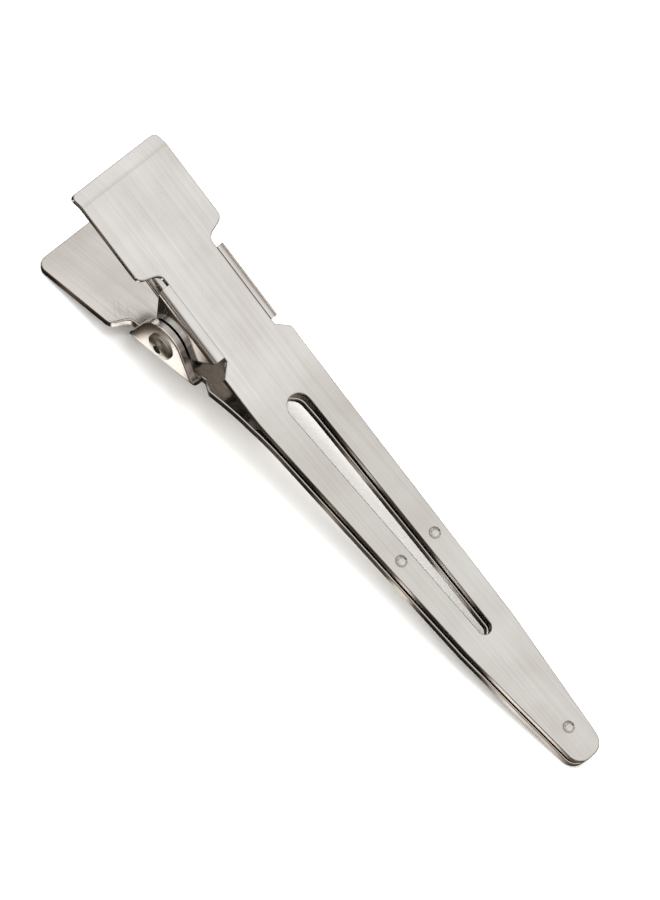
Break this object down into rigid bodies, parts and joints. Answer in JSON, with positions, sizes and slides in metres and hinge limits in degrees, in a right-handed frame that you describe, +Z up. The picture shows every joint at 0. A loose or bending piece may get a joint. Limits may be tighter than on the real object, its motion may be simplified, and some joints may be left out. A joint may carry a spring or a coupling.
{
  "type": "duckbill hair clip",
  "caption": "Flat duckbill hair clip of bright nickel-plated sheet: slotted tapering prongs, wide finger tabs, a riveted hinge and a coil spring that closes it.",
  "frame": {"origin": "on the surface that the clip lies on, under the middle of its length and width", "axes": "+X from the finger tabs to the prongs' tips, +Y across the clip along the pin, +Z up from the surface it lies on"},
  "size_m": [0.054, 0.0088, 0.0122],
  "materials": {
    "nickel_plate": "bright nickel plate on stamped steel sheet",
    "rivet_plate": "bright nickel plate on a steel rivet",
    "spring_wire": "drawn spring wire, thinly plated"
  },
  "bodies": {
    "lower_half": {"lower_jaw": "nickel_plate", "pivot_pin": "rivet_plate", "spring": "spring_wire"},
    "upper_half": {"upper_jaw": "nickel_plate"}
  },
  "joints": [
    {"name": "jaw_hinge", "type": "hinge", "parent": "lower_half", "child": "upper_half", "pos_m": [-0.01532, 0, 0.00519], "axis": [0, -1, 0], "range_deg": [0, 30], "stiffness_Nm_per_rad": 0.06, "springref_deg": -0.86, "deforming": ["spring"]}
  ]
}
